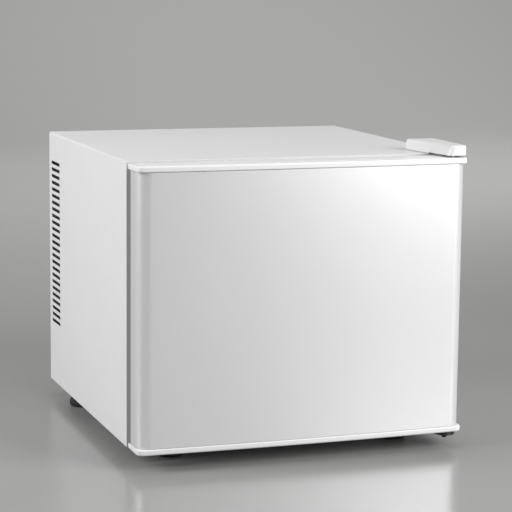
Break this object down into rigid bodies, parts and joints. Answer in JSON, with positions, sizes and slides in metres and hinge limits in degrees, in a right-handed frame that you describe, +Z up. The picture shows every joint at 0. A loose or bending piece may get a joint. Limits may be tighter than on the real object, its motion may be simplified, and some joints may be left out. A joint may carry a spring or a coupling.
{
  "type": "mini fridge",
  "caption": "Cube-shaped white mini fridge with a bowed side-hinged door, side air slots, door racks, a wire shelf and a thermoelectric cooling unit behind.",
  "frame": {"origin": "on the floor, under the middle of the object's bounding box", "axes": "+Z up, +Y from the door to the back, +X towards the hinge side"},
  "size_m": [0.385, 0.4134, 0.347],
  "materials": {
    "cabinet_paint": "satin",
    "door_paint": "satin",
    "white_plastic": "satin",
    "liner_plastic": "gloss",
    "rack_plastic": "gloss",
    "seal": "matte",
    "foam": "matte",
    "galvanised_steel": "satin",
    "screw_steel": "satin",
    "black_steel": "satin",
    "grey_plastic": "satin",
    "aluminium": "satin",
    "ceramic": "matte",
    "black_plastic": "matte",
    "board": "satin",
    "lens": "gloss",
    "coated_wire": "gloss",
    "foot_rubber": "matte"
  },
  "bodies": {
    "cabinet": {"air_cover": "white_plastic", "back_panel": "cabinet_paint", "back_screw_1": "screw_steel", "back_screw_2": "screw_steel", "back_screw_3": "screw_steel", "back_screw_4": "screw_steel", "back_screw_5": "screw_steel", "back_screw_6": "screw_steel", "board_carrier": "black_plastic", "bottom_hinge_pin": "black_steel", "bottom_hinge_plate": "black_steel", "bottom_hinge_screw_1": "black_steel", "bottom_hinge_screw_2": "black_steel", "bottom_panel": "cabinet_paint", "cabinet_foam": "foam", "cabinet_shell": "cabinet_paint", "cold_sink": "aluminium", "compartment_wall": "galvanised_steel", "control_housing": "white_plastic", "foot_front_left": "foot_rubber", "foot_front_right": "foot_rubber", "foot_rear_left": "foot_rubber", "foot_rear_right": "foot_rubber", "hinge_cover": "white_plastic", "hot_sink": "aluminium", "inner_fan_frame": "white_plastic", "inner_liner": "liner_plastic", "light_lens": "lens", "mains_inlet": "black_plastic", "peltier_module": "ceramic", "power_board": "board", "rear_fan_frame": "black_plastic", "rear_grille": "black_plastic", "spacer_block": "aluminium", "top_hinge_pin": "galvanised_steel", "top_hinge_plate": "galvanised_steel", "top_hinge_screw_1": "screw_steel", "top_hinge_screw_2": "screw_steel", "wire_shelf": "coated_wire"},
    "door": {"door_panel": "door_paint", "door_top_cap": "white_plastic", "door_bottom_cap": "white_plastic", "door_foam": "foam", "door_liner": "liner_plastic", "door_gasket": "seal", "door_rack_lower": "rack_plastic", "door_rack_upper": "rack_plastic", "top_hinge_bush": "grey_plastic", "bottom_hinge_bush": "grey_plastic"},
    "rear_fan": {"rear_fan_rotor": "black_plastic"},
    "inner_fan": {"inner_fan_rotor": "white_plastic"},
    "thermostat": {"thermostat_knob": "grey_plastic"}
  },
  "joints": [
    {"name": "door_swing", "type": "hinge", "parent": "cabinet", "child": "door", "pos_m": [0.1785, -0.18565, 0.019], "axis": [0, 0, 1], "range_deg": [0, 120]},
    {"name": "rear_fan_spin", "type": "hinge", "parent": "cabinet", "child": "rear_fan", "pos_m": [0, 0.184, 0.17675], "axis": [0, 1, 0], "continuous": true},
    {"name": "inner_fan_spin", "type": "hinge", "parent": "cabinet", "child": "inner_fan", "pos_m": [0, 0.0745, 0.17675], "axis": [0, 1, 0], "continuous": true},
    {"name": "thermostat_turn", "type": "hinge", "parent": "cabinet", "child": "thermostat", "pos_m": [0.036, -0.09695, 0.2862], "axis": [0, 1, 0], "range_deg": [0, 270]}
  ]
}
